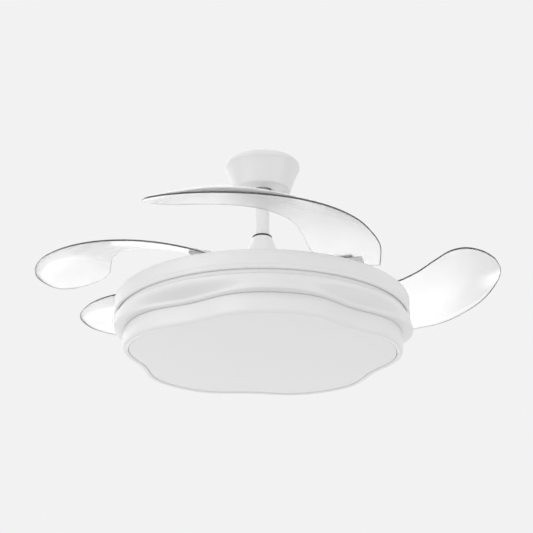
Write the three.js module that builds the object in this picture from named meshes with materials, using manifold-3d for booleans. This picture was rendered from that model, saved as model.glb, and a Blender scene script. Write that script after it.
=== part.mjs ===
// Retractable blade ceiling fan with a lobed light underneath.
// Millimetres, +Z up. The origin is the middle of the ceiling bracket's top face, so the fan hangs in -Z.

import * as THREE from 'three';
import { mergeVertices } from 'three/addons/utils/BufferGeometryUtils.js';
import Module from 'manifold-3d';

const wasm = await Module();
wasm.setup();

// ---------------------------------------------------------------- driving dimensions

const gap = 0.3; // between pieces that touch
const dropToTray = 262; // ceiling to the top edge of the blade tray

// ceiling bracket and canopy
const bracketLength = 112;
const bracketWidth = 40;
const bracketPlate = 2.5;
const bracketHoleRadius = 2.6;
const bracketHoleSpacing = 96;
const legThickness = 2.8;
const legWidth = 30;
const tabLength = 15;
const canopyTopRadius = 66.7;
const canopyBottomRadius = 49.5;
const canopyHeight = 53.5;
const canopyBandHeight = 9;
const canopyWall = 2.2;
const canopyWaist = [{ out: 4.5, up: 15 }, { out: 9.5, up: 29 }]; // from the edge of its bottom
const canopyMouthRadius = 24;
const canopyScrewSpacing = 74;
const canopyScrewRadius = 2;
const canopyScrewLength = 8.5;
const receiverLength = 50;
const receiverWidth = 18;
const receiverHeight = 24.2;
const receiverOffset = canopyTopRadius - 26.7; // fan axis to its middle
const terminalLength = 14;
const terminalWidth = 18;
const terminalHeight = 14.2;
const terminalOffset = canopyTopRadius - 20.7;

// ball joint
const ballRadius = 20;
const ballFlat = 13;
const ballDrop = 36; // ceiling to the ball's centre
const linerWall = 1.8;
const linerBelow = 12;
const linerAbove = 3;
const socketWall = 5;
const ballPinRadius = 2.7;
const ballPinLength = 36;

// rod, yoke and cover
const rodRadius = 12.5;
const rodBore = 10.5;
const rodAboveTray = 76; // tray's top edge to the rod's end
const yokeWall = 3.8;
const yokeGrip = 28;
const yokeBase = 20;
const yokeBoltRadius = 3;
const yokeBoltHead = 5;
const coverTopRadius = 17.2;
const coverBottomRadius = 48;
const coverHeight = 77;
const coverAboveTray = 44.5;
const coverWaist = [{ share: 0.69, up: 0.33 }, { share: 0.52, up: 0.75 }]; // of its bottom radius and height
const coverWall = 2;
const gasketHeight = 3;

// motor
const shaftRadius = 8;
const shaftBore = 5.5;
const shaftFlangeRadius = 22;
const shaftFlangeHeight = 3;
const motorRadius = 61.3;
const motorHeight = 69;
const motorWall = 3;
const motorFlangeWidth = 11;
const bearingRadius = 14;
const bearingHeight = 6.4;
const coreRadius = 51;
const coreHub = 24;
const coreNeck = 45;
const coreHeight = 28;
const coreTeeth = 12;
const windingInner = 20;
const windingOuter = 46;
const windingHeight = 7.5;
const airGap = 1;

// blade tray
const trayRadius = 250;
const trayHeight = 32;
const trayWall = 2.5;
const trayDeckDrop = 6;
const trayRunningGap = 5.3; // between the tray's skirt and the pan

// lobed light
const lobeCount = 5;
const lobeAngle = THREE.MathUtils.degToRad(275);
const panTopRadius = trayRadius + 0.4;
const panWall = 2.5;
const panLipRadius = trayRadius - trayWall - 3.2; // the lip stands inside the tray's skirt
const panLipHeight = 8.3;
const flangeDrop = 28.7; // pan top to the lobed flange
const shadeHeight = 32.1;
const shadeRadius = trayRadius - 22;
const flangeRadius = shadeRadius + 11;
const flangeSwing = 15.4;
const flangeRipple = -1;
const flangeInner = shadeRadius - 14;
const shadeSwing = 10.4;
const shadeRipple = -2.4;
const shadeWall = 3;
const shadeRim = 10;
const diffuserThickness = 3.4;
const diffuserInset = 2.1; // shade's bottom edge to the diffuser's face
const diffuserLedge = 8;
const ledBoardInner = 95;
const ledBoardOuter = 190;
const ledBoardThickness = 1.6;
const driverLength = 84;
const driverWidth = 34;
const driverHeight = 22;
const driverOffset = 45; // fan axis to its middle
const bossRadius = 4.5;
const bossDepth = 18;
const shadeScrewRadius = 1.6;

// blades
const pivotRadius = trayRadius * 0.5464; // fan axis to a blade's pivot
const pivotAngle = 37.5;
const bladeReach = trayRadius * 1.236; // a blade's pivot to its tip
const bladeThickness = 3;
const bladeRise = 57.5; // tray's top edge to the blade at its pivot
const bladeStations = 18; // steps along a blade
const bladeStrips = 6; // steps across it
const bladeArch = 12; // most that its sheet rises over the line between its two edges
const stowedTurn = -105; // outline as drawn below, turned to its folded place
const bladeOpenings = { a: 65, b: 84, c: 156, d: 105 }; // degrees out of the folded place
const bladePlaces = { a: 270, b: 180, c: 90, d: 0 };
const hubRadius = 12;
const hubBottom = 14; // above the tray's top edge
const hubTop = 44;
const armThickness = 8;
const armReach = 44;
const armWidth = 18;
const armTurn = 150; // degrees, from the blade's long axis to the arm
const armLevel = 26; // tray's top edge to the arm's underside
const clampThickness = 2;
const rivetRadius = 3.6;
const boltShankRadius = 5;
const boltHeadRadius = 7.5;
const boltHeadHeight = 2.6;
const springWire = 1.1;
const springRadius = 8.6;
const springTurns = 4;

// Plan of a blade as shares of its reach, x and y from its pivot. The round outer edge, from root to tip:
const outerEdge = [
  [-0.1553, 0.3236], [0.0162, 0.4466], [0.1942, 0.5016], [0.3366, 0.521],
  [0.5081, 0.4984], [0.6667, 0.4272], [0.767, 0.3463], [0.8544, 0.233],
  [0.9353, 0.0744], [0.9806, -0.1068], [0.9838, -0.2524], [0.9385, -0.3463],
];
// The S-shaped inner edge, from the root to the same tip:
const innerEdge = [
  [-0.1618, 0.0453], [-0.0259, -0.0227], [0.1294, 0.0324], [0.288, 0.0744],
  [0.4239, 0.0388], [0.534, -0.0615], [0.6181, -0.1974], [0.6958, -0.3269],
  [0.7767, -0.3883], [0.8673, -0.3883], [0.9385, -0.3463],
];

// ---------------------------------------------------------------- levels worked out from the sizes

const trayTop = -dropToTray;
const ballLevel = -ballDrop;
const canopyBottom = -gap - canopyHeight;
const deckTop = trayTop - trayDeckDrop;
const deckBottom = deckTop - 3;
const trayBottom = trayTop - trayHeight;
const panTop = trayBottom - trayRunningGap;
const flangeBottom = panTop - flangeDrop;
const shadeTop = flangeBottom - gap;
const shadeBottom = shadeTop - shadeHeight;
const diffuserTop = shadeBottom + diffuserInset + diffuserThickness;
const motorBottom = panTop + shaftFlangeHeight + 3;
const motorTop = motorBottom + motorHeight;
const rodTop = ballLevel + ballFlat - 7;
const rodBottom = trayTop + rodAboveTray;
const yokeTop = rodBottom + yokeGrip;
const yokeBottom = rodBottom - gap - yokeBase;
const coverBottom = trayTop + coverAboveTray;
const coverTop = coverBottom + coverHeight;
const coreMiddle = (motorBottom + motorTop) / 2;

// ---------------------------------------------------------------- shape helpers

const radians = THREE.MathUtils.degToRad;

// A closed solid from a geometry: shared corners merged, collapsed faces dropped, faces outwards.
function solid(geometry) {
  const bare = geometry.clone();
  bare.deleteAttribute('normal');
  bare.deleteAttribute('uv');
  const merged = mergeVertices(bare, 1e-4);
  const corners = merged.attributes.position;
  const source = merged.index.array;
  const faces = [];
  let volume = 0;
  const [a, b, c] = [new THREE.Vector3(), new THREE.Vector3(), new THREE.Vector3()];
  for (let i = 0; i < source.length; i += 3) {
    const [p, q, r] = [source[i], source[i + 1], source[i + 2]];
    if (p === q || q === r || r === p) continue;
    faces.push([p, q, r]);
    a.fromBufferAttribute(corners, p);
    b.fromBufferAttribute(corners, q);
    c.fromBufferAttribute(corners, r);
    volume += a.dot(b.cross(c));
  }
  const wound = faces.flatMap(([p, q, r]) => (volume < 0 ? [p, r, q] : [p, q, r]));
  const mesh = new wasm.Mesh({
    numProp: 3,
    vertProperties: new Float32Array(corners.array),
    triVerts: new Uint32Array(wound),
  });
  return new wasm.Manifold(mesh);
}

function join(...pieces) {
  return pieces.reduce((whole, piece) => whole.add(piece));
}

function cut(piece, ...tools) {
  return tools.reduce((rest, tool) => rest.subtract(tool), piece);
}

// A ring or disc turned about Z from a closed [radius, height] profile.
function turned(profile, segments = 20) {
  const points = profile.map(([r, z]) => new THREE.Vector2(r, z));
  const onAxis = profile[0][0] === 0 && profile[profile.length - 1][0] === 0;
  if (!onAxis) points.push(points[0].clone());
  return new THREE.LatheGeometry(points, segments).rotateX(Math.PI / 2);
}

function tubeProfile(inner, outer, bottom, top) {
  return [[inner, bottom], [outer, bottom], [outer, top], [inner, top]];
}

function ring(inner, outer, bottom, top, segments = 20) {
  return solid(turned(tubeProfile(inner, outer, bottom, top), segments));
}

function rod(radius, bottom, top, x = 0, y = 0, segments = 12) {
  const geometry = new THREE.CylinderGeometry(radius, radius, top - bottom, segments);
  geometry.rotateX(Math.PI / 2);
  geometry.translate(x, y, (top + bottom) / 2);
  return solid(geometry);
}

function crossRod(radius, length, z, segments = 12) {
  const geometry = new THREE.CylinderGeometry(radius, radius, length, segments);
  geometry.rotateZ(Math.PI / 2);
  geometry.translate(0, 0, z);
  return solid(geometry);
}

function block(x0, x1, y0, y1, z0, z1) {
  const geometry = new THREE.BoxGeometry(x1 - x0, y1 - y0, z1 - z0);
  geometry.translate((x0 + x1) / 2, (y0 + y1) / 2, (z0 + z1) / 2);
  return solid(geometry);
}

// Radius of a lobed outline at an angle: a mean, a swing with one wave a lobe and a finer ripple.
function lobedRadius(mean, swing, ripple, angle) {
  const turn = angle - lobeAngle;
  return mean + swing * Math.cos(lobeCount * turn) + ripple * Math.cos(2 * lobeCount * turn);
}

// A turned shape whose [mean, height, swing, ripple] rings follow the lobes.
function lobed(profile, segments = 60) {
  const geometry = turned(profile.map(([mean, z]) => [mean, z]), segments);
  const rings = profile.length + (profile[0][0] === 0 ? 0 : 1);
  const position = geometry.attributes.position;
  for (let i = 0; i < position.count; i += 1) {
    const [mean, z, swing, ripple] = profile[(i % rings) % profile.length];
    if (mean === 0) continue;
    const angle = Math.atan2(position.getY(i), position.getX(i));
    const radius = lobedRadius(mean, swing, ripple, angle);
    position.setXYZ(i, radius * Math.cos(angle), radius * Math.sin(angle), z);
  }
  return solid(geometry);
}

// Points of a sphere's outline between two heights over its centre.
function arc(radius, from, to, centre, steps = 4) {
  const start = Math.asin(from / radius);
  const end = Math.asin(to / radius);
  return Array.from({ length: steps + 1 }, (_, i) => {
    const angle = start + ((end - start) * i) / steps;
    return [radius * Math.cos(angle), centre + radius * Math.sin(angle)];
  });
}

const assembly = new THREE.Group();
assembly.name = 'retractable_blade_ceiling_fan';

const finishes = {
  white_paint: { color: 0xe9e9e9, roughness: 0.42, metalness: 0.05 },
  white_plastic: { color: 0xececec, roughness: 0.38, metalness: 0 },
  milky: { color: 0xf3f3f3, roughness: 0.5, metalness: 0 },
  clear: { color: 0xf4f7f8, roughness: 0.06, metalness: 0, transparent: true, opacity: 0.35 },
  steel: { color: 0xb9bcc0, roughness: 0.35, metalness: 1 },
  dark_steel: { color: 0x5c6064, roughness: 0.45, metalness: 0.9 },
  aluminium: { color: 0xc9cccf, roughness: 0.4, metalness: 0.9 },
  copper: { color: 0xb56a34, roughness: 0.4, metalness: 0.9 },
  black_rubber: { color: 0x1b1b1c, roughness: 0.75, metalness: 0 },
  grey_plastic: { color: 0x8f9498, roughness: 0.6, metalness: 0 },
};

function place(name, piece, finish, parent = assembly) {
  const { numProp, vertProperties, triVerts } = piece.getMesh();
  const geometry = new THREE.BufferGeometry();
  geometry.setAttribute('position', new THREE.BufferAttribute(vertProperties, numProp));
  geometry.setIndex(new THREE.BufferAttribute(triVerts, 1));
  geometry.computeVertexNormals();
  const mesh = new THREE.Mesh(geometry, new THREE.MeshStandardMaterial(finishes[finish]));
  mesh.name = name;
  parent.add(mesh);
}

// ---------------------------------------------------------------- ceiling bracket and canopy

const socketOuter = ballRadius + gap + linerWall + gap + socketWall;
const socketInner = ballRadius + gap + linerWall + gap;
const socketBelow = linerBelow + 2;
const socketAbove = linerAbove + 1;

function ceilingBracket() {
  const legOuter = socketOuter + 1;
  const tabBottom = canopyBottom + canopyWall + gap;
  const [endX, endY] = [bracketLength / 2, bracketWidth / 2];
  const parts = [block(-endX, endX, -endY, endY, -bracketPlate, 0)];
  const socket = [
    ...arc(socketInner, -socketBelow, socketAbove, ballLevel),
    [socketOuter, ballLevel + socketAbove],
    [socketOuter, ballLevel - socketBelow],
  ];
  parts.push(solid(turned(socket, 28)));
  for (const side of [-1, 1]) {
    const [near, far] = [side * (legOuter - legThickness), side * legOuter].sort((p, q) => p - q);
    parts.push(block(near, far, -legWidth / 2, legWidth / 2, tabBottom, -bracketPlate / 2));
    const [from, to] = [side * (legOuter - 1), side * (legOuter + tabLength)].sort((p, q) => p - q);
    parts.push(block(from, to, -8, 8, tabBottom, tabBottom + legThickness));
  }
  const holes = [];
  for (const side of [-1, 1]) {
    holes.push(rod(bracketHoleRadius, -bracketPlate - 1, 1, (side * bracketHoleSpacing) / 2, 0));
    const tabHole = [tabBottom - 1, tabBottom + legThickness + 1, (side * canopyScrewSpacing) / 2, 0];
    holes.push(rod(canopyScrewRadius + gap, ...tabHole));
  }
  return cut(join(...parts), ...holes);
}

function canopy() {
  const top = -gap;
  const bandBottom = top - canopyBandHeight;
  const waist = canopyWaist.map(({ out, up }) => [canopyBottomRadius + out, canopyBottom + up]);
  const profile = [
    [canopyMouthRadius, canopyBottom],
    [canopyBottomRadius - 2, canopyBottom],
    [canopyBottomRadius, canopyBottom + 1.6],
    ...waist,
    [canopyTopRadius - 2.6, bandBottom - 2.5],
    [canopyTopRadius - 0.6, bandBottom + 1],
    [canopyTopRadius, top - 4.5],
    [canopyTopRadius - 0.8, top - 1.4],
    [canopyTopRadius - 2.4, top],
    [canopyTopRadius - 2.4 - canopyWall, top],
    [canopyTopRadius - 0.8 - canopyWall, bandBottom + 1],
    ...waist.map(([radius, level]) => [radius - canopyWall, level]).reverse(),
    [canopyBottomRadius - canopyWall, canopyBottom + canopyWall],
    [canopyMouthRadius, canopyBottom + canopyWall],
  ];
  const [holeBottom, holeTop] = [canopyBottom - 1, canopyBottom + canopyWall + 1];
  const holes = [-1, 1].map((side) =>
    rod(canopyScrewRadius + gap, holeBottom, holeTop, (side * canopyScrewSpacing) / 2, 0));
  return cut(solid(turned(profile, 36)), ...holes);
}

// A pan-head screw that points up, its head just under the canopy.
function canopyScrew(x) {
  const headTop = canopyBottom - gap;
  return join(
    rod(canopyScrewRadius * 1.9, headTop - 1.8, headTop, x, 0, 12),
    rod(canopyScrewRadius, headTop - 0.5, headTop + canopyScrewLength, x, 0, 10),
  );
}

// A box that hangs just under the bracket's plate, its middle at x, y.
function bracketBox(length, width, height, x, y) {
  const top = -bracketPlate - gap;
  return block(x - length / 2, x + length / 2, y - width / 2, y + width / 2, top - height, top);
}

place('ceiling_bracket', ceilingBracket(), 'steel');
place('canopy', canopy(), 'white_paint');
for (const [index, side] of [-1, 1].entries()) {
  place(`canopy_screw_${index + 1}`, canopyScrew((side * canopyScrewSpacing) / 2), 'white_paint');
}
const receiver = bracketBox(receiverLength, receiverWidth, receiverHeight, 0, -receiverOffset);
place('receiver_box', receiver, 'grey_plastic');
const terminals = bracketBox(terminalLength, terminalWidth, terminalHeight, -terminalOffset, 0);
place('terminal_block', terminals, 'white_plastic');

// ---------------------------------------------------------------- ball joint and downrod

const linerOuter = ballRadius + gap + linerWall;
const linerProfile = [
  ...arc(ballRadius + gap, -linerBelow, linerAbove, ballLevel),
  ...arc(linerOuter, -linerBelow, linerAbove, ballLevel).reverse(),
];
const pinLevel = ballLevel + 2;
const ballProfile = [
  [rodRadius + gap, ballLevel - ballFlat],
  ...arc(ballRadius, -ballFlat, ballFlat, ballLevel, 6),
  [rodRadius + gap, ballLevel + ballFlat],
];
const pinHole = crossRod(ballPinRadius + gap, 2 * ballRadius + 4, pinLevel);

place('socket_liner', solid(turned(linerProfile, 28)), 'grey_plastic');
place('hanger_ball', cut(solid(turned(ballProfile, 28)), pinHole), 'dark_steel');
place('ball_pin', crossRod(ballPinRadius, ballPinLength, pinLevel, 12), 'steel');

const boltLevel = rodBottom + yokeGrip / 2;
const yokeOuter = rodRadius + gap + yokeWall;
const boltHole = crossRod(yokeBoltRadius + gap, 2 * yokeOuter + 4, boltLevel);
place('downrod', cut(ring(rodBore, rodRadius, rodBottom, rodTop), pinHole, boltHole), 'white_paint');

// ---------------------------------------------------------------- yoke, its bolt and the sliding cover

const yokeProfile = [
  [shaftRadius + gap, yokeBottom],
  [yokeOuter, yokeBottom],
  [yokeOuter, yokeTop],
  [rodRadius + gap, yokeTop],
  [rodRadius + gap, rodBottom - gap],
  [shaftRadius + gap, rodBottom - gap],
];
place('yoke', cut(solid(turned(yokeProfile)), boltHole), 'dark_steel');

const boltEnd = yokeOuter + 5;
const pinX = yokeOuter + 2.5;
const splitHole = rod(0.9 + gap, boltLevel - 6, boltLevel + 6, pinX, 0, 10);
const boltShank = new THREE.CylinderGeometry(yokeBoltRadius, yokeBoltRadius, yokeOuter + boltEnd + 1, 16);
boltShank.rotateZ(Math.PI / 2);
boltShank.translate((boltEnd - yokeOuter - 1) / 2, 0, boltLevel);
const boltHead = new THREE.CylinderGeometry(yokeBoltHead, yokeBoltHead, 3, 6);
boltHead.rotateZ(Math.PI / 2);
boltHead.translate(-yokeOuter - gap - 1.5, 0, boltLevel);
place('yoke_bolt', cut(join(solid(boltShank), solid(boltHead)), splitHole), 'steel');

const eye = new THREE.TorusGeometry(1.8, 0.8, 6, 10);
eye.rotateX(Math.PI / 2);
eye.translate(pinX, 0, boltLevel + yokeBoltRadius + 2.9);
const splitLeg = rod(0.9, boltLevel - 5.5, boltLevel + yokeBoltRadius + 1.6, pinX, 0, 10);
place('split_pin', join(solid(eye), splitLeg), 'steel');

const coverBore = rodRadius + gap;
const waistRings = coverWaist.map(({ share, up }) =>
  [coverBottomRadius * share, coverBottom + coverHeight * up]);
const coverProfile = [
  [coverBottomRadius - coverWall, coverBottom],
  [coverBottomRadius, coverBottom],
  ...waistRings,
  [coverTopRadius, coverTop - 1],
  [coverTopRadius - 1, coverTop],
  [coverBore, coverTop],
  [coverBore, coverTop - coverWall],
  [coverTopRadius - coverWall, coverTop - coverWall],
  ...waistRings.map(([radius, level]) => [radius - coverWall, level]).reverse(),
];
place('coupling_cover', solid(turned(coverProfile, 28)), 'white_plastic');
const gasket = [
  [coverBore, coverTop + gap],
  [coverTopRadius - 0.6, coverTop + gap],
  [coverTopRadius, coverTop + gap + gasketHeight * 0.4],
  [coverTopRadius - 1.4, coverTop + gap + gasketHeight],
  [coverBore, coverTop + gap + gasketHeight],
];
place('gasket_ring', solid(turned(gasket)), 'black_rubber');

// ---------------------------------------------------------------- motor

const shaftFlangeTop = panTop + gap + shaftFlangeHeight;
const shaftEnd = panTop - panWall - 14;
const shaftProfile = [
  [shaftBore, shaftEnd],
  [shaftRadius, shaftEnd],
  [shaftRadius, panTop + gap],
  [shaftFlangeRadius, panTop + gap],
  [shaftFlangeRadius, shaftFlangeTop - 1],
  [shaftRadius + 2, shaftFlangeTop],
  [shaftRadius, shaftFlangeTop],
  [shaftRadius, rodBottom - gap - 2],
  [shaftBore, rodBottom - gap - 2],
];
place('motor_shaft', solid(turned(shaftProfile, 20)), 'steel');

function toothedCore() {
  const outline = new THREE.Shape();
  const corners = [];
  for (let tooth = 0; tooth < coreTeeth; tooth += 1) {
    const middle = (2 * Math.PI * tooth) / coreTeeth;
    const half = Math.PI / coreTeeth;
    for (const [radius, share] of [[coreHub, -1], [coreHub, -0.45], [coreNeck, -0.25], [coreRadius, -0.8],
      [coreRadius, 0], [coreRadius, 0.8], [coreNeck, 0.25], [coreHub, 0.45]]) {
      const angle = middle + half * share;
      corners.push(new THREE.Vector2(radius * Math.cos(angle), radius * Math.sin(angle)));
    }
  }
  outline.setFromPoints(corners);
  const bore = new THREE.Path();
  bore.absarc(0, 0, shaftRadius + gap, 0, 2 * Math.PI, true);
  outline.holes.push(bore);
  const settings = { depth: coreHeight, bevelEnabled: false, curveSegments: 20 };
  const geometry = new THREE.ExtrudeGeometry(outline, settings);
  geometry.translate(0, 0, coreMiddle - coreHeight / 2);
  return solid(geometry);
}

place('stator_core', toothedCore(), 'dark_steel');
const coreTop = coreMiddle + coreHeight / 2;
const coreBottom = coreMiddle - coreHeight / 2;
const [windingTop, windingBottom] = [coreTop + gap + windingHeight, coreBottom - gap - windingHeight];
place('winding_upper', ring(windingInner, windingOuter, coreTop + gap, windingTop), 'copper');
place('winding_lower', ring(windingInner, windingOuter, windingBottom, coreBottom - gap), 'copper');

const magnetOuter = motorRadius - motorWall - gap;
const magnetInner = coreRadius + airGap;
place('magnet_ring', ring(magnetInner, magnetOuter, coreBottom - 2, coreTop + 2, 24), 'dark_steel');

const flangeTop = deckBottom - gap;
const flangeMiddle = flangeTop - motorWall - gap / 2;
const flangeOuter = motorRadius + motorFlangeWidth;
const bearingHub = bearingRadius + gap + 4;

// Half of the rotor's casing: a cup with a bearing seat in the middle and a flange round its mouth.
function motorCup(floor, inward, mouthLevel) {
  const inside = floor + inward * motorWall;
  const seat = inside + inward * (bearingHeight + gap);
  const lip = mouthLevel - inward * motorWall;
  const profile = [
    [shaftRadius + 1, floor],
    [motorRadius - 3, floor],
    [motorRadius, floor + inward * 3],
    [motorRadius, lip],
    [flangeOuter, lip],
    [flangeOuter, mouthLevel],
    [motorRadius - motorWall, mouthLevel],
    [motorRadius - motorWall, inside],
    [bearingHub, inside],
    [bearingHub, seat],
    [bearingRadius + gap, seat],
    [bearingRadius + gap, inside],
    [shaftRadius + 1, inside],
  ];
  return solid(turned(profile, 24));
}

const screwCircle = motorRadius + 6;
const screwAngles = [90, 210, 330].map(radians);
const flangeHoles = screwAngles.map((angle) =>
  rod(2 + gap, flangeMiddle - 8, deckTop + 1, screwCircle * Math.cos(angle), screwCircle * Math.sin(angle)));
const lowerCup = motorCup(motorBottom, 1, flangeMiddle - gap / 2);
const upperCup = motorCup(motorTop, -1, flangeMiddle + gap / 2);
place('rotor_shell_lower', cut(lowerCup, ...flangeHoles), 'dark_steel');
place('rotor_shell_upper', cut(upperCup, ...flangeHoles), 'white_paint');
const seatLow = motorBottom + motorWall + gap;
const seatHigh = motorTop - motorWall - gap;
place('bearing_lower', ring(shaftRadius + gap, bearingRadius, seatLow, seatLow + bearingHeight), 'steel');
place('bearing_upper', ring(shaftRadius + gap, bearingRadius, seatHigh - bearingHeight, seatHigh), 'steel');

// ---------------------------------------------------------------- blade tray

const pivots = Object.entries(bladePlaces).map(([letter, turn]) => {
  const angle = radians(turn + pivotAngle);
  return { letter, turn, x: pivotRadius * Math.cos(angle), y: pivotRadius * Math.sin(angle) };
});

function bladeTray() {
  const profile = [
    [motorRadius + gap + 0.4, deckBottom],
    [trayRadius - 14, deckBottom],
    [trayRadius - trayWall - 1, trayTop - 14],
    [trayRadius - trayWall - 1, trayBottom + 5],
    [trayRadius - trayWall - 2, trayBottom],
    [trayRadius - 2.4, trayBottom],
    [trayRadius - 0.6, trayBottom + 1.2],
    [trayRadius, trayBottom + 3.6],
    [trayRadius - 0.7, trayBottom + 6.4],
    [trayRadius - 1.6, trayBottom + 8],
    [trayRadius - 0.4, trayTop - 8],
    [trayRadius - 0.6, trayTop - 3],
    [trayRadius - 2.2, trayTop - 0.8],
    [trayRadius - 5, trayTop],
    [trayRadius - 9, trayTop - 1],
    [trayRadius - 16, deckTop],
    [motorRadius + gap + 0.4, deckTop],
  ];
  const boltHoles = pivots.map(({ x, y }) => rod(boltShankRadius + gap, deckBottom - 1, deckTop + 1, x, y));
  return cut(solid(turned(profile, 60)), ...boltHoles, ...flangeHoles);
}

place('blade_tray', bladeTray(), 'white_plastic');
for (const [index, angle] of screwAngles.entries()) {
  const [x, y] = [screwCircle * Math.cos(angle), screwCircle * Math.sin(angle)];
  const screw = join(
    rod(3.8, deckTop + gap, deckTop + gap + 2, x, y, 10),
    rod(2, flangeMiddle - motorWall - 4, deckTop + gap + 0.5, x, y, 8),
  );
  place(`tray_screw_${index + 1}`, screw, 'steel');
}

// ---------------------------------------------------------------- blades and their pivots

const edgeCurve = (edge) => new THREE.SplineCurve(edge.map(([x, y]) => new THREE.Vector2(x, y)));
const outerCurve = edgeCurve(outerEdge);
const innerCurve = edgeCurve(innerEdge);

// The point of a blade at a share of its length and of its width. Its height over the tray's top edge
// is pitched and droops towards the tip, and its outer part is arched between the two edges.
function bladePoint(along, across) {
  const plan = outerCurve.getPoint(along).lerp(innerCurve.getPoint(along), across);
  const { x, y } = plan.multiplyScalar(bladeReach);
  const rise = bladeRise + 0.331 * x - 0.168 * y;
  const bend = (0.3668 * x * x + 0.0924 * x * y + 0.1755 * y * y) / bladeReach;
  const arch = bladeArch * Math.sin(Math.PI * along ** 1.5) ** 3 * Math.sin(Math.PI * across ** 0.6);
  return new THREE.Vector3(x, y, rise - bend + arch);
}

// A sheet that follows the blade from station to station and strip to strip, between two offsets.
// Offsets given in falling order split its facets the other way, to match the blade's face they meet.
function bladeSheet([fromStation, toStation], [fromStrip, toStrip], offsets) {
  const [length, width] = [toStation - fromStation, toStrip - fromStrip];
  const geometry = new THREE.BoxGeometry(1, 1, 1, length, width, 1);
  const position = geometry.attributes.position;
  for (let i = 0; i < position.count; i += 1) {
    const along = (fromStation + length * (position.getX(i) + 0.5)) / bladeStations;
    const across = (fromStrip + width * (position.getY(i) + 0.5)) / bladeStrips;
    const point = bladePoint(along, across);
    const offset = position.getZ(i) > 0 ? offsets[1] : offsets[0];
    position.setXYZ(i, point.x, point.y, point.z + offset);
  }
  return solid(geometry);
}

const half = bladeThickness / 2;
const armTop = -half - gap;
const bladeRivets = [[0.02, 0.6], [0.02, 0.76], [0.042, 0.67]]; // shares of its length and width

function bladeArm() {
  const plate = bladeSheet([0, 1], [2, bladeStrips], [armTop, armTop - armThickness]);
  const bar = block(0, armReach, -armWidth / 2, armWidth / 2, armLevel, armLevel + armThickness);
  const neck = rod(hubRadius - 2, hubTop - 7, hubTop, 0, 0, 16);
  const hub = join(rod(hubRadius, hubBottom, hubTop - 6, 0, 0, 16), neck);
  const bore = rod(boltShankRadius + gap, hubBottom - 1, hubTop + 1, 0, 0, 16);
  return cut(join(plate, bar.rotate([0, 0, armTurn]), hub), bore);
}

function bladeClamp() {
  const bottom = half + gap;
  const plate = bladeSheet([0, 1], [3, 5], [bottom + clampThickness, bottom]);
  const heads = bladeRivets.map(([t, v]) => {
    const point = bladePoint(t, v);
    const base = point.z + bottom + clampThickness;
    return rod(rivetRadius, base - 1, base + 1.4, point.x, point.y, 10);
  });
  const bladeRoom = bladeSheet([0, 2], [0, bladeStrips], [0, bottom]);
  return join(plate, cut(join(...heads), bladeRoom));
}

// Torsion spring round the pivot bolt.
class Helix extends THREE.Curve {
  getPoint(t) {
    const angle = 2 * Math.PI * springTurns * t;
    const rise = (hubBottom + trayDeckDrop - 2 * gap - 2 * springWire) * t;
    return new THREE.Vector3(springRadius * Math.cos(angle), springRadius * Math.sin(angle), rise);
  }
}

function returnSpring() {
  const corners = Array.from({ length: 5 }, (_, i) => {
    const angle = (2 * Math.PI * i) / 5;
    return new THREE.Vector2(springWire * Math.cos(angle), springWire * Math.sin(angle));
  });
  const settings = { steps: 7 * springTurns, bevelEnabled: false, extrudePath: new Helix() };
  const geometry = new THREE.ExtrudeGeometry(new THREE.Shape(corners), settings);
  geometry.translate(0, 0, -trayDeckDrop + gap + springWire);
  return solid(geometry);
}

function pivotBolt() {
  return join(
    rod(boltHeadRadius, hubTop + gap, hubTop + gap + boltHeadHeight, 0, 0, 6),
    rod(boltShankRadius, -trayDeckDrop - 3 - 4, hubTop + gap + 1, 0, 0, 16),
  );
}

for (const { letter, turn, x, y } of pivots) {
  const fixed = new THREE.Group();
  fixed.position.set(x, y, trayTop);
  fixed.rotation.z = radians(turn);
  const swung = new THREE.Group();
  swung.position.copy(fixed.position);
  swung.rotation.z = radians(turn + stowedTurn + bladeOpenings[letter]);
  assembly.add(fixed, swung);
  place(`pivot_bolt_${letter}`, pivotBolt(), 'steel', fixed);
  place(`return_spring_${letter}`, returnSpring(), 'steel', fixed);
  place(`blade_arm_${letter}`, bladeArm(), 'white_plastic', swung);
  const sheet = bladeSheet([0, bladeStations], [0, bladeStrips], [-half, half]);
  place(`blade_${letter}`, sheet, 'clear', swung);
  place(`blade_clamp_${letter}`, bladeClamp(), 'white_paint', swung);
}

// ---------------------------------------------------------------- pan, light and their fixings

const bossAngles = [95, 215, 335].map(radians);
const bosses = bossAngles.map((angle) => {
  const radius = lobedRadius(shadeRadius - shadeWall - bossRadius + 1, shadeSwing, shadeRipple, angle);
  return { x: radius * Math.cos(angle), y: radius * Math.sin(angle) };
});

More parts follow.
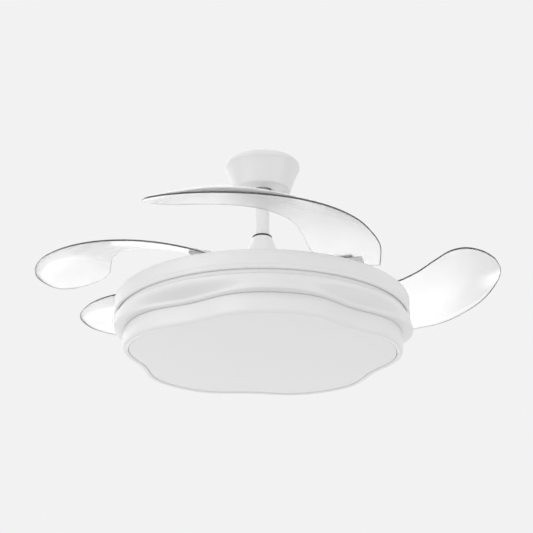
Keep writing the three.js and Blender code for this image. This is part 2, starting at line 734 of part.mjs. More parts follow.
function panHousing() {
  const hole = shaftRadius + gap;
  const underside = panTop - panWall;
  const profile = [
    [hole, panTop, 0, 0],
    [panLipRadius - panWall, panTop, 0, 0],
    [panLipRadius - panWall, panTop + panLipHeight, 0, 0],
    [panLipRadius, panTop + panLipHeight, 0, 0],
    [panLipRadius, panTop, 0, 0],
    [panTopRadius - 0.9, panTop - 2.8, 0, 0],
    [panTopRadius, panTop - 4.4, 0, 0],
    [panTopRadius - 1, panTop - 13, flangeSwing * 0.1, 0],
    [flangeRadius + 3, flangeBottom + 8, flangeSwing * 0.75, flangeRipple * 0.5],
    [flangeRadius + 0.6, flangeBottom + 3.5, flangeSwing, flangeRipple],
    [flangeRadius, flangeBottom + 1.2, flangeSwing, flangeRipple],
    [flangeRadius - 1.6, flangeBottom, flangeSwing, flangeRipple],
    [flangeInner, flangeBottom, shadeSwing, shadeRipple],
    [flangeInner, flangeBottom + panWall, shadeSwing, shadeRipple],
    [flangeRadius - 7, flangeBottom + panWall, flangeSwing * 0.9, flangeRipple],
    [panTopRadius - 8, panTop - 14, 0, 0],
    [panTopRadius - 5, underside - 3, 0, 0],
    [panTopRadius - 9, underside, 0, 0],
    [hole, underside, 0, 0],
  ];
  const [holeBottom, holeTop] = [flangeBottom - 1, flangeBottom + panWall + 1];
  const holes = bosses.map(({ x, y }) => rod(shadeScrewRadius + gap, holeBottom, holeTop, x, y));
  return cut(lobed(profile), ...holes);
}

function lightShade() {
  const wave = [shadeSwing, shadeRipple];
  const inner = shadeRadius - shadeWall;
  const rimInner = shadeRadius - shadeRim;
  const ledgeBottom = diffuserTop + gap;
  const profile = [
    [shadeRadius - 0.5, shadeTop],
    [shadeRadius, shadeTop - 8],
    [shadeRadius, shadeBottom + 9],
    [shadeRadius - 0.9, shadeBottom + 4],
    [shadeRadius - 3, shadeBottom + 1],
    [shadeRadius - 5.5, shadeBottom],
    [rimInner + 1, shadeBottom + 0.8],
    [rimInner, shadeBottom + 1.6],
    [rimInner, ledgeBottom],
    [rimInner - diffuserLedge, ledgeBottom],
    [rimInner - diffuserLedge, ledgeBottom + 2],
    [inner - 2, ledgeBottom + 2],
    [inner, ledgeBottom + 5],
    [inner, shadeTop],
  ].map(([mean, z]) => [mean, z, ...wave]);
  const solidBosses = bosses.map(({ x, y }) => rod(bossRadius, shadeTop - bossDepth, shadeTop, x, y, 16));
  const pilots = bosses.map(({ x, y }) =>
    rod(shadeScrewRadius + gap, shadeTop - bossDepth + 4, shadeTop + 1, x, y, 12));
  return cut(join(lobed(profile), ...solidBosses), ...pilots);
}

function diffuser() {
  const edge = shadeRadius - shadeRim - gap - 0.3;
  return lobed([
    [0, diffuserTop - diffuserThickness, 0, 0],
    [edge - 1, diffuserTop - diffuserThickness, shadeSwing, shadeRipple],
    [edge, diffuserTop - diffuserThickness + 1, shadeSwing, shadeRipple],
    [edge, diffuserTop, shadeSwing, shadeRipple],
    [0, diffuserTop, 0, 0],
  ]);
}

place('pan_housing', panHousing(), 'white_plastic');
const washerTop = panTop - panWall - gap;
place('clamp_washer', ring(shaftRadius + gap, 19, washerTop - 2.5, washerTop), 'steel');
const nutTop = washerTop - 2.5 - gap;
const nutBody = rod(14, nutTop - 8, nutTop, 0, 0, 6);
place('shaft_nut', cut(nutBody, rod(shaftRadius + gap, nutTop - 9, nutTop + 1, 0, 0, 20)), 'steel');
const driverTop = panTop - panWall - gap;
const driverY = [driverOffset - driverWidth / 2, driverOffset + driverWidth / 2];
const driver = block(-driverLength / 2, driverLength / 2, ...driverY, driverTop - driverHeight, driverTop);
place('led_driver', driver, 'white_plastic');
const board = ring(ledBoardInner, ledBoardOuter, driverTop - ledBoardThickness, driverTop, 40);
place('led_board', board, 'aluminium');
place('light_shade', lightShade(), 'white_plastic');
for (const [index, { x, y }] of bosses.entries()) {
  const headBottom = flangeBottom + panWall + gap;
  const screw = join(
    rod(3.2, headBottom, headBottom + 2, x, y, 12),
    rod(shadeScrewRadius, shadeTop - bossDepth + 7, headBottom + 0.5, x, y, 10),
  );
  place(`shade_screw_${index + 1}`, screw, 'steel');
}
place('diffuser', diffuser(), 'milky');

export default assembly;
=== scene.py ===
import math

import bmesh
import bpy
import numpy as np
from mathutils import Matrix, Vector


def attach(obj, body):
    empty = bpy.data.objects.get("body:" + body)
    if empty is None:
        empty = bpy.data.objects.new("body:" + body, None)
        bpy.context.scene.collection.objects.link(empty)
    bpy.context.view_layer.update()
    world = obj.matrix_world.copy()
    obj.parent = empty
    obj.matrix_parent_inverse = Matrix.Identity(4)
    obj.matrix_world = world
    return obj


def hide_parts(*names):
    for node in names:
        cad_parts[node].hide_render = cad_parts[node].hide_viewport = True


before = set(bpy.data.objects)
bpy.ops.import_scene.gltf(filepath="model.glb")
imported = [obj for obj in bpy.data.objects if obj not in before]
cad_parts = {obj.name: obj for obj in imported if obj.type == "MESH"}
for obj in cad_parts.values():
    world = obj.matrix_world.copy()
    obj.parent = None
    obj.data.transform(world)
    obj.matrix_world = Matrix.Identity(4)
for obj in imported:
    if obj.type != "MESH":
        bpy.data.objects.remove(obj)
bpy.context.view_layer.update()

# The camera stands low in front of the fan and looks up at its underside, as from a chair
# in the middle of a room with the fan on its ceiling. The fan fills the width of the picture.
camera_place = (0, -2.0662, -1.0160)
camera_focal_length = 87.156
camera_looks_up = 0.37894
camera_turn = -0.0036
camera_lens = bpy.data.cameras.new("camera")
camera_lens.sensor_width = 36
camera_lens.lens = camera_focal_length
camera_lens.clip_end = 50
camera = bpy.data.objects.new("camera", camera_lens)
camera.location = camera_place
camera.rotation_euler = (math.pi / 2 + camera_looks_up, 0, camera_turn)
bpy.context.scene.collection.objects.link(camera)
bpy.context.scene.camera = camera
bpy.context.scene.view_settings.view_transform = "Standard"


# The room: even pale light from every side, and six large soft lamps that the camera doesn't see.
# One stands high on the left in front, one on the right, and one over the fan shines through its
# blades. Three stand low and light its underside. Camera, gloss and clear plastic see a backdrop.
class Number:
    """A socket that carries a number. Sums and products of it add Math nodes."""

    def __init__(self, shading, socket):
        self.shading = shading
        self.socket = socket

    def math(self, operation, first, second):
        node = self.shading.node("ShaderNodeMath", {"operation": operation}, {0: first, 1: second})
        return Number(self.shading, node.outputs[0])

    def __add__(self, other):
        return self.math("ADD", self, other)

    def __sub__(self, other):
        return self.math("SUBTRACT", self, other)

    def __rsub__(self, other):
        return self.math("SUBTRACT", other, self)

    def __mul__(self, other):
        return self.math("MULTIPLY", self, other)

    def __pow__(self, other):
        return self.math("POWER", self, other)

    def at_least(self, other):
        return self.math("MAXIMUM", self, other)

    def at_most(self, other):
        return self.math("MINIMUM", self, other)

    __radd__ = __add__
    __rmul__ = __mul__


class Shading:
    """The nodes of a room or a material, all of which come from the one method below."""

    def __init__(self, owner):
        owner.use_nodes = True
        self.tree = owner.node_tree
        self.tree.nodes.clear()

    def node(self, kind, settings=None, sockets=None):
        """A node of that kind: its settings first, then the values or links of its sockets."""
        node = self.tree.nodes.new(kind)
        for name, value in (settings or {}).items():
            setattr(node, name, value)
        for name, value in (sockets or {}).items():
            value = value.socket if isinstance(value, Number) else value
            if isinstance(value, bpy.types.NodeSocket):
                self.tree.links.new(value, node.inputs[name])
            else:
                node.inputs[name].default_value = value
        return node


backdrop_grey = 0.888
room_light = 0.765
room = bpy.data.worlds.new("room")
bpy.context.scene.world = room
air = Shading(room)
ray = air.node("ShaderNodeLightPath").outputs
sees_backdrop = Number(air, ray["Is Camera Ray"]) + Number(air, ray["Is Glossy Ray"])
sees_backdrop = (sees_backdrop + Number(air, ray["Is Transmission Ray"])).at_most(1.0)
soft_walls, backdrop = (
    air.node("ShaderNodeBackground", None, {"Color": (grey, grey, grey, 1)})
    for grey in (room_light, backdrop_grey)
)
either = air.node("ShaderNodeMixShader", None, {
    0: sees_backdrop, 1: soft_walls.outputs[0], 2: backdrop.outputs[0],
})
air.node("ShaderNodeOutputWorld", None, {"Surface": either.outputs[0]})

# Name, width and height in metres, power in watts, place, and direction of the light.
lamps = [
    ("front_lamp", (2.4, 1.6), 24, (-2.6, -2.4, 0.1), (2.6, 2.4, -0.35)),
    ("right_lamp", (1.6, 1.6), 10, (2.8, -1.8, -0.6), (-2.8, 1.8, 0.3)),
    ("top_lamp", (3.4, 2.0), 14.5, (-0.75, 1.6, 0.9), (0.75, -1.6, -1.1)),
    ("floor_lamp", (2.0, 1.6), 6, (0.5, 0.9, -2.35), (-0.5, -0.9, 2.0)),
    ("left_rear_lamp", (0.9, 1.1), 14, (-1.2, 2.9, -2.2), (1.2, -2.9, 2.0)),
    ("rear_lamp", (2.6, 1.3), 9, (-0.1, 4.9, -1.25), (0.1, -4.9, 1.1)),
]
for lamp_name, (lamp_wide, lamp_high), power, stand, aim in lamps:
    lamp_light = bpy.data.lights.new(lamp_name, "AREA")
    lamp_light.shape = "RECTANGLE"
    lamp_light.size = lamp_wide
    lamp_light.size_y = lamp_high
    lamp_light.energy = power
    lamp = bpy.data.objects.new(lamp_name, lamp_light)
    lamp.location = stand
    lamp.visible_camera = False
    lamp.rotation_euler = Vector(aim).to_track_quat("-Z", "Y").to_euler()
    bpy.context.scene.collection.objects.link(lamp)


# Ceiling bracket: one zinc plated steel pressing with two screw holes, two legs and a round seat
# for the ball. The receiver and the terminal block are moulded boxes that hang under its plate.
class Finish(Shading):
    """A surface finish: a material, its noises, colours and bumps, and each point's place."""

    def __init__(self, name):
        self.material = bpy.data.materials.new(name)
        super().__init__(self.material)
        self.place = self.node("ShaderNodeTexCoord").outputs["Object"]

    def noise(self, scale, detail=2, stretch=None):
        """Noise from 0 to 1 over the piece, scale in waves a metre, stretched along its axes."""
        place = self.place
        if stretch:
            sockets = {"Vector": place, "Scale": stretch}
            place = self.node("ShaderNodeMapping", None, sockets).outputs[0]
        sockets = {"Vector": place, "Scale": scale, "Detail": detail}
        return Number(self, self.node("ShaderNodeTexNoise", None, sockets).outputs["Fac"])

    def between(self, factor, low, high):
        """A colour that runs from low to high with the factor."""
        sockets = {0: factor, 6: (*low, 1), 7: (*high, 1)}
        return self.node("ShaderNodeMix", {"data_type": "RGBA"}, sockets).outputs[2]

    def bump(self, height, strength, distance):
        """A normal that follows a height in metres."""
        sockets = {"Height": height, "Strength": strength, "Distance": distance}
        return self.node("ShaderNodeBump", None, sockets).outputs[0]

    def surface(self, shader):
        """The shader that the material shows, and the material."""
        self.node("ShaderNodeOutputMaterial", None, {"Surface": shader.outputs[0]})
        return self.material


def metal(name, tint, rough, grain, stretch=None):
    """A plain metal whose tint and gloss wander a little, with a grain of so many waves a metre."""
    finish = Finish(name)
    fine = finish.noise(grain, 4, stretch)
    broad = finish.noise(45, 3)
    dull = tuple(0.82 * part for part in tint)
    shader = finish.node("ShaderNodeBsdfPrincipled", None, {
        "Base Color": finish.between(fine * 0.6 + broad * 0.4, dull, tint),
        "Metallic": 1.0,
        "Roughness": rough + (fine - 0.5) * 0.18,
        "Normal": finish.bump(fine, 0.12, 0.0004),
    })
    return finish.surface(shader)


def dress(finish, *names):
    """The solids of those names show that finish."""
    for name in names:
        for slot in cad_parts[name].material_slots:
            slot.material = finish


plastic_index = 1.49


def moulded(name, tint, rough=0.36):
    """Moulded plastic: a very fine grain, and a faint drift of tint and gloss along its flow."""
    finish = Finish(name)
    flow = finish.noise(9, 3)
    grain = finish.noise(1400, 2)
    shade = tuple(0.985 * part for part in tint)
    shader = finish.node("ShaderNodeBsdfPrincipled", None, {
        "Base Color": finish.between(flow, shade, tint),
        "Roughness": rough + (flow - 0.5) * 0.08 + (grain - 0.5) * 0.05,
        "IOR": plastic_index,
        "Normal": finish.bump(grain * 0.35 + finish.noise(260, 2), 0.05, 0.0003),
    })
    return finish.surface(shader)


zinc = metal("zinc_plated_steel", (0.70, 0.71, 0.73), 0.36, 900, (1, 6, 1))
grey_moulded = moulded("grey_moulded_plastic", (0.33, 0.35, 0.37), 0.55)
white_moulded = moulded("white_moulded_plastic", (0.885, 0.885, 0.885))
dress(zinc, "ceiling_bracket")
dress(grey_moulded, "receiver_box")
dress(white_moulded, "terminal_block")


# Canopy: a bell of thin steel, spun and powder coated satin white, with a rolled band at its top
# and a flat bottom with a wide mouth for the rod. Two screws go up through its bottom.
def rounded(outline, reach, steps=6):
    """A closed outline whose corners are quadratic curves, each from reach before the corner
    to reach after it, and never past the middle of a side. The first two columns are lengths."""
    corners = np.asarray(outline, float)
    before = np.roll(corners, 1, 0) - corners
    after = np.roll(corners, -1, 0) - corners
    sides = [np.linalg.norm(side[:, :2], axis=1) for side in (before, after)]
    reach = np.broadcast_to(np.asarray(reach, float), len(corners))
    back, on = (side * np.minimum(reach / length, 0.5)[:, None]
                for side, length in ((before, sides[0]), (after, sides[1])))
    share = np.linspace(0, 1, steps)[None, :, None]
    curve = corners[:, None] + back[:, None] * (1 - share) ** 2 + on[:, None] * share ** 2
    return curve.reshape(-1, corners.shape[1])


def skin(name, grids, finish, sharp=35, across=None, rim=None):
    """One piece of closed shells, each through a grid of points whose last row and column repeat
    the first or meet in a pole. Each cell is a face, and points in the same place are merged."""
    points, faces, start = [], [], 0
    for grid in grids:
        rows, columns = grid.shape[:2]
        index = np.arange(rows * columns).reshape(rows, columns) + start
        cells = np.stack([index[:-1, :-1], index[1:, :-1], index[1:, 1:], index[:-1, 1:]], -1)
        points.append(grid.reshape(-1, 3))
        faces.append(cells.reshape(-1, 4))
        start += rows * columns
    faces = np.vstack(faces)
    mesh = bpy.data.meshes.new(name)
    mesh.from_pydata(np.vstack(points).tolist(), [], faces.tolist())
    if across is not None:
        corners = across.reshape(-1, 2)[faces.ravel()]
        mesh.uv_layers.new(name="across").data.foreach_set("uv", corners.ravel())
    if rim is not None:
        mesh.attributes.new("rim", "FLOAT", "POINT").data.foreach_set("value", rim.ravel())
    shell = bmesh.new()
    shell.from_mesh(mesh)
    bmesh.ops.remove_doubles(shell, verts=shell.verts, dist=1e-6)
    bmesh.ops.dissolve_degenerate(shell, edges=shell.edges, dist=1e-7)
    bmesh.ops.recalc_face_normals(shell, faces=shell.faces)
    shell.to_mesh(mesh)
    shell.free()
    mesh.shade_smooth()
    mesh.set_sharp_from_angle(angle=math.radians(sharp))
    mesh.materials.append(finish)
    piece = bpy.data.objects.new(name, mesh)
    bpy.context.scene.collection.objects.link(piece)
    return piece


def turned(outline, turns=144):
    """Grid of an outline in millimetres, radius and height, carried round the fan's axis."""
    outline = np.vstack([outline, outline[:1]]) / 1000
    angle = np.linspace(0, 2 * np.pi, turns + 1)[:, None]
    radius, level = outline[:, 0][None], outline[:, 1][None]
    return np.stack([radius * np.cos(angle), radius * np.sin(angle), level + 0 * angle], -1)


def powder_coat(name, tint):
    """Powder coat: the shallow waves of its skin, a satin gloss that wanders a little."""
    finish = Finish(name)
    waves = finish.noise(420, 2)
    broad = finish.noise(14, 3)
    shade = tuple(0.98 * part for part in tint)
    shader = finish.node("ShaderNodeBsdfPrincipled", None, {
        "Base Color": finish.between(broad, shade, tint),
        "Roughness": 0.40 + (broad - 0.5) * 0.10,
        "Coat Weight": 0.15,
        "Coat Roughness": 0.25,
        "Normal": finish.bump(waves, 0.06, 0.0005),
    })
    return finish.surface(shader)


def stand_in(piece, body, slot, *nodes):
    """The piece rides on its body and is shown in place of those solids. Its slot is not used."""
    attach(piece, body)
    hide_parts(*nodes)


white_coat = powder_coat("white_powder_coat", (0.89, 0.89, 0.89))
canopy_outline = [
    (24, -53.8), (47.5, -53.8), (49.5, -52.2), (54, -38.8), (59, -24.8), (64.1, -11.8),
    (66.1, -8.3), (66.7, -4.8), (65.9, -1.7), (64.3, -0.3), (62.1, -0.3), (63.7, -8.3),
    (56.8, -24.8), (51.8, -38.8), (47.3, -51.6), (24, -51.6),
]
canopy_reach = [0.4, 1.4, 1.2, 20, 20, 4, 1.5, 2, 1.2, 0.8, 0.3, 2, 20, 20, 1, 0.4]
canopy = skin("canopy_shell", [turned(rounded(canopy_outline, canopy_reach))], white_coat)
stand_in(canopy, "mount", "white_paint", "canopy")
dress(white_coat, "canopy_screw_1", "canopy_screw_2")

# Ball joint: a dark steel ball on the rod, held by a pin through both, in a grey plastic liner
# that lets it swing in the bracket's seat.
dark_metal = metal("dark_phosphated_steel", (0.20, 0.205, 0.21), 0.48, 700)
dress(dark_metal, "hanger_ball")
dress(zinc, "ball_pin")
dress(grey_moulded, "socket_liner")

# Downrod: a straight steel tube, powder coated white, cross drilled at both ends.
rod_outline = [(10.5, -186), (12.5, -186), (12.5, -30), (10.5, -30)]
rod = skin("downrod_tube", [turned(rounded(rod_outline, 0.5, 4), 72)], white_coat)
stand_in(rod, "hanging", "white_paint", "downrod")

# Yoke: a turned dark steel sleeve that joins the rod to the motor shaft. A zinc plated bolt goes
# through both and a split pin holds it.
dress(dark_metal, "yoke")
dress(zinc, "yoke_bolt", "split_pin")


# Cover over the yoke: a moulded white cone that flares towards the motor and slides up the rod,
# with a black rubber ring on its top.
cover_outline = [
    (46, -217.5), (48, -217.5), (33.1, -192.1), (24.96, -159.75), (17.2, -141.5), (16.2, -140.5),
    (12.8, -140.5), (12.8, -142.5), (15.2, -142.5), (22.96, -159.75), (31.1, -192.1),
]
cover_reach = [0.5, 0.7, 30, 30, 0.9, 0.9, 0.4, 0.4, 0.5, 30, 30]
cover_grid = turned(rounded(cover_outline, cover_reach), 96)
cover = skin("coupling_cover_cone", [cover_grid], white_moulded)
stand_in(cover, "cover", "white_plastic", "coupling_cover")


def soft_black(name):
    """Matt rubber with a fine moulded grain and a little pale dust."""
    finish = Finish(name)
    dust = finish.noise(130, 5)
    shader = finish.node("ShaderNodeBsdfPrincipled", None, {
        "Base Color": finish.between(dust ** 3, (0.012, 0.012, 0.012), (0.05, 0.05, 0.05)),
        "Roughness": 0.62 + dust * 0.2,
        "Normal": finish.bump(finish.noise(2200), 0.15, 0.0002),
    })
    return finish.surface(shader)


rubber = soft_black("black_rubber")
gasket_outline = [(12.8, -140.2), (16.6, -140.2), (17.2, -139.0), (15.8, -137.2), (12.8, -137.2)]
gasket = skin("gasket_ring_soft", [turned(rounded(gasket_outline, 0.7), 96)], rubber)
stand_in(gasket, "cover", "black_rubber", "gasket_ring")


# Motor: a steel shaft, a toothed core of pressed laminations, copper windings, a ring of magnets
# and two steel cups that turn round them on two bearings.
def wound(name):
    """Enamelled copper wire: fine turns, side by side, with a darker varnish between them."""
    finish = Finish(name)
    turns = finish.node("ShaderNodeTexWave", {"wave_type": "RINGS", "rings_direction": "Z"},
                        {"Vector": finish.place, "Scale": 90.0, "Distortion": 0.6})
    turn = Number(finish, turns.outputs["Fac"])
    shader = finish.node("ShaderNodeBsdfPrincipled", None, {
        "Base Color": finish.between(turn, (0.20, 0.06, 0.02), (0.58, 0.24, 0.10)),
        "Metallic": 0.85,
        "Roughness": 0.34 + (1 - turn) * 0.15,
        "Normal": finish.bump(turn, 0.5, 0.0006),
    })
    return finish.surface(shader)


dress(zinc, "motor_shaft", "bearing_lower", "bearing_upper")
dress(dark_metal, "stator_core", "magnet_ring", "rotor_shell_lower")
dress(wound("enamelled_copper"), "winding_upper", "winding_lower")
cup_outline = [
    (9, -224.3), (58.3, -224.3), (61.3, -227.3), (61.3, -271.3), (72.3, -271.3), (72.3, -274.3),
    (58.3, -274.3), (58.3, -227.3), (18.3, -227.3), (18.3, -234), (14.3, -234), (14.3, -227.3),
    (9, -227.3),
]
cup = skin("motor_top_cup", [turned(rounded(cup_outline, 1.2), 96)], white_coat)
stand_in(cup, "rotor", "white_paint", "rotor_shell_upper")

# Blade tray: a round moulded tray with a rolled rim, screwed to the motor. Its deck carries the
# four blade pivots, and a bead runs round the foot of its skirt.
tray_outline = [
    (62, -271), (236, -271), (246.5, -276), (246.5, -289), (245.5, -294), (247.6, -294),
    (249.4, -292.8), (250, -290.4), (249.3, -287.6), (248.4, -286), (249.6, -270), (249.4, -265),
    (247.8, -262.8), (245, -262), (241, -263), (234, -268), (62, -268),
]
tray_reach = [0.5, 4, 3, 3, 0.5, 1, 1.3, 1.5, 1.2, 1, 3, 1.6, 1.4, 2, 3, 3, 0.5]
tray = skin("blade_tray_round", [turned(rounded(tray_outline, tray_reach), 288)], white_moulded)
stand_in(tray, "rotor", "white_plastic", "blade_tray")
dress(zinc, "tray_screw_1", "tray_screw_2", "tray_screw_3")

# Blade pivots: at each of four places round the tray a zinc plated bolt, a torsion spring of round
# wire and a white moulded arm that swings on the bolt. The arm runs under the root of its blade.
blade_reach = 309
blade_rise = 57.5
blade_tilt = (0.331, -0.168)
blade_bend = (0.3668, 0.0924, 0.1755)
blade_arch = 12
tray_edge_level = -262
pivot_ring = 136.6
pivot_turn = 37.5
blade_turns = {"a": 230, "b": 159, "c": 141, "d": 0}
pivot_places = {"a": 270, "b": 180, "c": 90, "d": 0}
outer_edge = [
    (-0.1553, 0.3236), (0.0162, 0.4466), (0.1942, 0.5016), (0.3366, 0.521), (0.5081, 0.4984),
    (0.6667, 0.4272), (0.767, 0.3463), (0.8544, 0.233), (0.9353, 0.0744), (0.9806, -0.1068),
    (0.9838, -0.2524), (0.9385, -0.3463),
]
inner_edge = [
    (-0.1618, 0.0453), (-0.0259, -0.0227), (0.1294, 0.0324), (0.288, 0.0744), (0.4239, 0.0388),
    (0.534, -0.0615), (0.6181, -0.1974), (0.6958, -0.3269), (0.7767, -0.3883), (0.8673, -0.3883),
    (0.9385, -0.3463),
]


def through(points, share):
    """Point of a smooth curve through the points: between two of them, a cubic whose slope at
    each is half the step between its neighbours."""
    points = np.asarray(points, float)
    last = len(points) - 1
    spot = share * last
    start = np.minimum(np.floor(spot).astype(int), last - 1)
    part = (spot - start)[..., None]
    before, here = points[np.maximum(start - 1, 0)], points[start]
    there, beyond = points[start + 1], points[np.minimum(start + 2, last)]
    leave, arrive = (there - before) / 2, (beyond - here) / 2
    bend = 3 * (there - here) - 2 * leave - arrive
    twist = 2 * (here - there) + leave + arrive
    return here + part * (leave + part * (bend + part * twist))


def blade_plan(along, over):
    """Plan of a blade in millimetres from its pivot: a straight line from its outer edge to its
    inner edge, at a share of its length and of its width."""
    outer, inner = through(outer_edge, along), through(inner_edge, along)
    return (outer + (inner - outer) * over[..., None]) * blade_reach


def blade_level(along, over):
    """Height over the tray's edge: a tilted plane, less a bend that grows with the square of the
    distance from the pivot, plus an arch between the two edges, highest at two thirds along."""
    x, y = np.moveaxis(blade_plan(along, over), -1, 0)
    bend = (blade_bend[0] * x * x + blade_bend[1] * x * y + blade_bend[2] * y * y) / blade_reach
    arch = blade_arch * np.sin(np.pi * along ** 1.5) ** 3 * np.sin(np.pi * over ** 0.6)
    return blade_rise + blade_tilt[0] * x + blade_tilt[1] * y - bend + arch


def swung(letter, plan, level):
    """Points of a blade, turned to its place and moved to its pivot, in metres."""
    turn = math.radians(blade_turns[letter])
    place = math.radians(pivot_places[letter] + pivot_turn)
    x = plan[..., 0] * math.cos(turn) - plan[..., 1] * math.sin(turn) + pivot_ring * math.cos(place)
    y = plan[..., 0] * math.sin(turn) + plan[..., 1] * math.cos(turn) + pivot_ring * math.sin(place)
    return np.stack([x, y, level + tray_edge_level], -1) / 1000


def shares(start, end, count):
    """Shares from start to end that crowd at both ends, as the cosine does round half a turn."""
    return start + (end - start) * (0.5 - 0.5 * np.cos(np.linspace(0, np.pi, count)))


def sheet(letter, long, wide, low, high, edge):
    """Closed sheet between two offsets from the blade's surface, over the shares of its length and
    width that long and wide give with their counts. Its loop goes over the top and back underneath,
    and within edge of its rim the offsets close on the middle in a quarter of an ellipse."""
    along = shares(*long)[:, None]
    over = np.concatenate([shares(*wide), shares(*wide)[::-1]])[None]
    side = np.concatenate([np.ones(wide[2]), -np.ones(wide[2])])[None]
    along, over, side = np.broadcast_arrays(along, over, side)
    plan = blade_plan(along, over)
    width = np.linalg.norm(blade_plan(along, 0 * over) - blade_plan(along, 0 * over + 1), axis=-1)
    across_rim = np.minimum(over - wide[0], wide[1] - over) * width
    root = np.linalg.norm(plan - blade_plan(0 * along + long[0], over), axis=-1)
    tip = np.linalg.norm(plan - blade_plan(0 * along + long[1], over), axis=-1)
    rim = np.minimum(np.minimum(across_rim, root), tip)
    fullness = np.sqrt(1 - (1 - np.clip(rim / edge, 0, 1)) ** 2)
    level = blade_level(along, over) + (low + high) / 2 + side * (high - low) / 2 * fullness
    points = swung(letter, plan, level)
    points = np.concatenate([points, points[:, :1]], 1)
    uv = np.concatenate([np.stack([along, over], -1), np.stack([along, over], -1)[:, :1]], 1)
    return points, uv, np.concatenate([rim, rim[:, :1]], 1)


arm_reach = 44
arm_turn = 150
arm_half_width = 9
arm_level = 30
arm_half_height = 4
arm_end = 0.6


def arm_bar(letter):
    """Grid of the flat bar from the hub to the plate: a rounded oblong that closes at both ends."""
    low, high = arm_level - arm_half_height, arm_level + arm_half_height
    corners = [(-arm_half_width, low), (arm_half_width, low), (arm_half_width, high),
               (-arm_half_width, high)]
    oblong = rounded(corners, 1.5, 5)
    oblong = np.vstack([oblong, oblong[:1]])
    out = np.array([0, 0, arm_end, arm_reach - arm_end, arm_reach, arm_reach])[:, None]
    full = np.array([0, 0.9, 1, 1, 0.9, 0])[:, None]
    side = oblong[:, 0][None] * full
    level = arm_level + (oblong[:, 1][None] - arm_level) * full
    turn = math.radians(arm_turn)
    x = out * math.cos(turn) - side * math.sin(turn)
    y = out * math.sin(turn) + side * math.cos(turn)
    return swung(letter, np.stack([x, y], -1), level)


plate_long, plate_wide = (0, 1 / 18, 24), (1 / 3, 1, 40)
plate_low, plate_high, plate_edge = -9.8, -1.85, 2
hub_outline = [(5.3, 14), (12, 14), (12, 38), (10, 39), (10, 44), (5.3, 44)]
for letter in "abcd":
    plate, _, _ = sheet(letter, plate_long, plate_wide, plate_low, plate_high, plate_edge)
    hub = turned(rounded(hub_outline, 0.8, 4), 64) + swung(letter, np.zeros(2), 0.0)
    arm = skin("blade_arm_" + letter + "_moulded", [plate, arm_bar(letter), hub], white_moulded)
    stand_in(arm, "swing_blade_" + letter, "white_plastic", "blade_arm_" + letter)
    dress(zinc, "pivot_bolt_" + letter, "return_spring_" + letter)
    dress(white_coat, "blade_clamp_" + letter)


# Blades: curved sheets of clear acrylic, hot formed, with polished edges. Painted shade darkens a
# line along those edges, most along the round side, in place of the dark look that light bent by
# the rounded rim gives them. Each is riveted to its arm under a thin steel clamp, painted white.
def clear_acrylic(name):
    """Clear acrylic with an even pale frost that lets light through from above. Painted shade runs
    in a dark line along the polished rim, where the frost is taken off: it fades with the distance
    from the rim in millimetres, and is wider and fainter on the inner side."""
    finish = Finish(name)
    spot = finish.node("ShaderNodeUVMap", {"uv_map": "across"}).outputs[0]
    over = Number(finish, finish.node("ShaderNodeSeparateXYZ", None, {0: spot}).outputs[1])
    stored = finish.node("ShaderNodeAttribute", {"attribute_name": "rim"})
    rim = Number(finish, stored.outputs["Fac"])
    # From 0 to 1 between three and five eighths of the width, counted from the outer edge.
    inner_side = (over * 4 - 1.5).at_least(0.0).at_most(1.0)
    # Painted shade band: full at the rim itself, gone 1.3 mm in from it on the outer side and 4 mm
    # on the inner.
    rim_shade_band = (1.2 - rim * (0.95 - inner_side * 0.65)).at_least(0.0).at_most(1.0)
    # Painted shade: under the band the clear colour runs towards dark grey, a little less on the
    # inner side.
    painted_rim_shade = rim_shade_band * (0.74 - inner_side * 0.10)
    haze = finish.noise(30, 3)
    clear = finish.node("ShaderNodeBsdfPrincipled", None, {
        "Base Color": finish.between(painted_rim_shade, (0.985, 0.985, 0.985), (0.10, 0.10, 0.10)),
        "Roughness": 0.17 + haze * 0.02,
        "IOR": plastic_index,
        "Transmission Weight": 1.0,
    })
    frost = finish.node("ShaderNodeBsdfTranslucent", None, {"Color": (0.93, 0.93, 0.93, 1)})
    white = (1, 1, 1, 1)
    gloss = finish.node("ShaderNodeBsdfAnisotropic", None, {"Color": white, "Roughness": 0.2})
    facing = finish.node("ShaderNodeFresnel", None, {"IOR": plastic_index}).outputs[0]
    milky = finish.node("ShaderNodeMixShader", None, {
        0: facing, 1: frost.outputs[0], 2: gloss.outputs[0],
    })
    # Under the painted shade band the frost is taken off, so the darkened clear colour shows.
    milk = (0.34 + (haze - 0.5) * 0.02) * (1 - rim_shade_band)
    both = finish.node("ShaderNodeMixShader", None, {
        0: milk, 1: clear.outputs[0], 2: milky.outputs[0],
    })
    return finish.surface(both)


blade_half = 1.5
acrylic = clear_acrylic("clear_acrylic")
for letter in "abcd":
    points, uv, rim = sheet(letter, (0, 1, 170), (0, 1, 64), -blade_half, blade_half, blade_half)
    blade = skin("blade_" + letter + "_sheet", [points], acrylic, 60, uv, rim)
    stand_in(blade, "swing_blade_" + letter, "clear_acrylic", "blade_" + letter)


# Pan: a moulded white pan that stands still under the turning tray, clamped to the motor shaft by a
# washer and a nut. A lip stands up inside the tray's skirt, and the pan's own skirt flares into a
# flange of five lobes that carries the light.
lobe_count = 5
lobe_angle = 275


def lobed(outline, turns=400):
    """Grid of an outline carried round in lobes: the radius is a mean, plus a swing with one wave
    a lobe and a ripple with two. Columns are mean, height, swing and ripple, in millimetres."""
    outline = np.vstack([outline, outline[:1]])
    angle = np.linspace(0, 2 * np.pi, turns + 1)[:, None]
    wave = lobe_count * (angle - math.radians(lobe_angle))
    mean, level, swing, ripple = (outline[:, column][None] for column in range(4))
    radius = mean + swing * np.cos(wave) + ripple * np.cos(2 * wave)
    x, y = radius * np.cos(angle), radius * np.sin(angle)
    return np.stack([x, y, level + 0 * angle], -1) / 1000


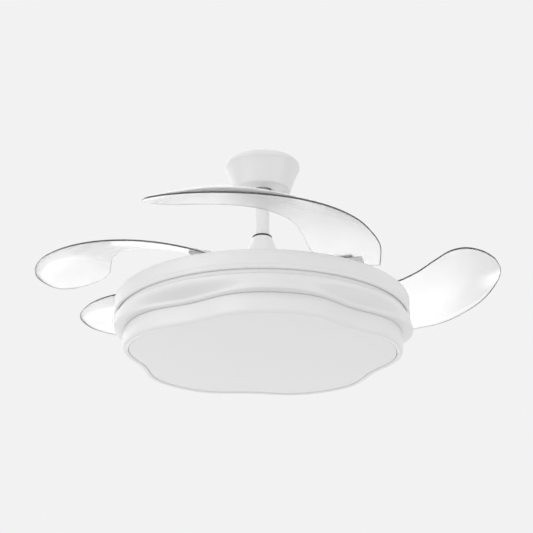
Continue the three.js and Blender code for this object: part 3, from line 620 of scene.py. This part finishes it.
pan_outline = [
    (8.3, -299.3, 0, 0), (241.8, -299.3, 0, 0), (241.8, -291, 0, 0), (244.3, -291, 0, 0),
    (244.3, -299.3, 0, 0), (249.3, -302.9, 0, 0), (250.4, -304.6, 0, 0), (249.4, -312.3, 1.54, 0),
    (243, -318.6, 11.0, -0.5), (240.4, -321.8, 15.2, -1), (239.6, -326.4, 15.4, -1),
    (237.4, -328, 15.4, -1), (214, -328, 10.4, -2.4), (214, -325.5, 10.4, -2.4),
    (232, -325.5, 13.86, -1), (242.4, -313.3, 0, 0), (245.4, -304.8, 0, 0), (241.4, -301.8, 0, 0),
    (8.3, -301.8, 0, 0),
]
pan_reach = [
    0.4, 0.5, 0.8, 0.8, 1, 1, 1.5, 6, 2, 0.9, 1.2, 1.2, 0.5, 0.5, 3, 4, 3, 3, 0.4,
]
pan = skin("pan_lobed", [lobed(rounded(pan_outline, pan_reach))], white_moulded)
stand_in(pan, "hanging", "white_plastic", "pan_housing")
dress(zinc, "clamp_washer", "shaft_nut")
dress(white_moulded, "led_driver")


# Light: a moulded white shade of the same five lobes, screwed up into the pan. A milky acrylic
# diffuser lies on the ledge inside its mouth, over a ring of aluminium that carries the lamps.
def frosted_milk(name):
    """Milky acrylic, matt below: a fine frost in its gloss and a faint cloud in its white."""
    finish = Finish(name)
    cloud, frost = finish.noise(7, 2), finish.noise(1900, 2)
    shader = finish.node("ShaderNodeBsdfPrincipled", None, {
        "Base Color": finish.between(cloud, (0.905, 0.905, 0.905), (0.92, 0.92, 0.92)),
        "Roughness": 0.52 + (frost - 0.5) * 0.12,
        "IOR": plastic_index,
        "Normal": finish.bump(frost, 0.06, 0.0002),
    })
    return finish.surface(shader)


five_lobes = (10.4, -2.4)
shade_outline = [(mean, level, *five_lobes) for mean, level in (
    (227.5, -328.3), (228, -336.3), (228, -351.4), (227.1, -356.4), (225, -359.4), (222.5, -360.4),
    (219, -359.6), (218, -358.8), (218, -354.6), (210, -354.6), (210, -352.6), (223, -352.6),
    (225, -349.6), (225, -328.3),
)]
shade_reach = [0.4, 3, 4, 3, 2, 2, 1, 0.6, 0.4, 0.4, 0.4, 2, 2, 0.4]
shade = skin("light_shade_lobed", [lobed(rounded(shade_outline, shade_reach))], white_moulded)
stand_in(shade, "hanging", "white_plastic", "light_shade")
milk_acrylic = frosted_milk("milky_acrylic")
diffuser_outline = [
    (0, -358.3, 0, 0), (150, -358.3, 0, 0), (216.4, -358.3, *five_lobes),
    (217.4, -357.3, *five_lobes), (217.4, -354.9, *five_lobes), (150, -354.9, 0, 0),
    (0, -354.9, 0, 0),
]
diffuser_reach = [0, 60, 0.6, 0.6, 0.4, 60, 0]
diffuser_grid = lobed(rounded(diffuser_outline, diffuser_reach))
diffuser = skin("diffuser_milky", [diffuser_grid], milk_acrylic)
stand_in(diffuser, "hanging", "milky_acrylic", "diffuser")
dress(metal("rolled_aluminium", (0.80, 0.81, 0.82), 0.34, 500, (1, 12, 1)), "led_board")
dress(zinc, "shade_screw_1", "shade_screw_2", "shade_screw_3")

# Floor of the room: plain, pale and matt, 2.4 metres under the ceiling, as in a usual home.
# It is stage, and no piece of the fan.
floor_half = 8
floor_level = -2.4
floor_corners = [
    (-floor_half, -floor_half, floor_level), (floor_half, -floor_half, floor_level),
    (floor_half, floor_half, floor_level), (-floor_half, floor_half, floor_level),
]
floor_mesh = bpy.data.meshes.new("floor")
floor_mesh.from_pydata(floor_corners, [], [(0, 1, 2, 3)])
floor_finish = Finish("pale_floor")
floor_grain = floor_finish.noise(40, 3)
floor_shader = floor_finish.node("ShaderNodeBsdfPrincipled", None, {
    "Base Color": floor_finish.between(floor_grain, (0.74, 0.74, 0.74), (0.76, 0.76, 0.76)),
    "Roughness": 0.7,
})
floor_mesh.materials.append(floor_finish.surface(floor_shader))
floor = bpy.data.objects.new("floor", floor_mesh)
bpy.context.scene.collection.objects.link(floor)
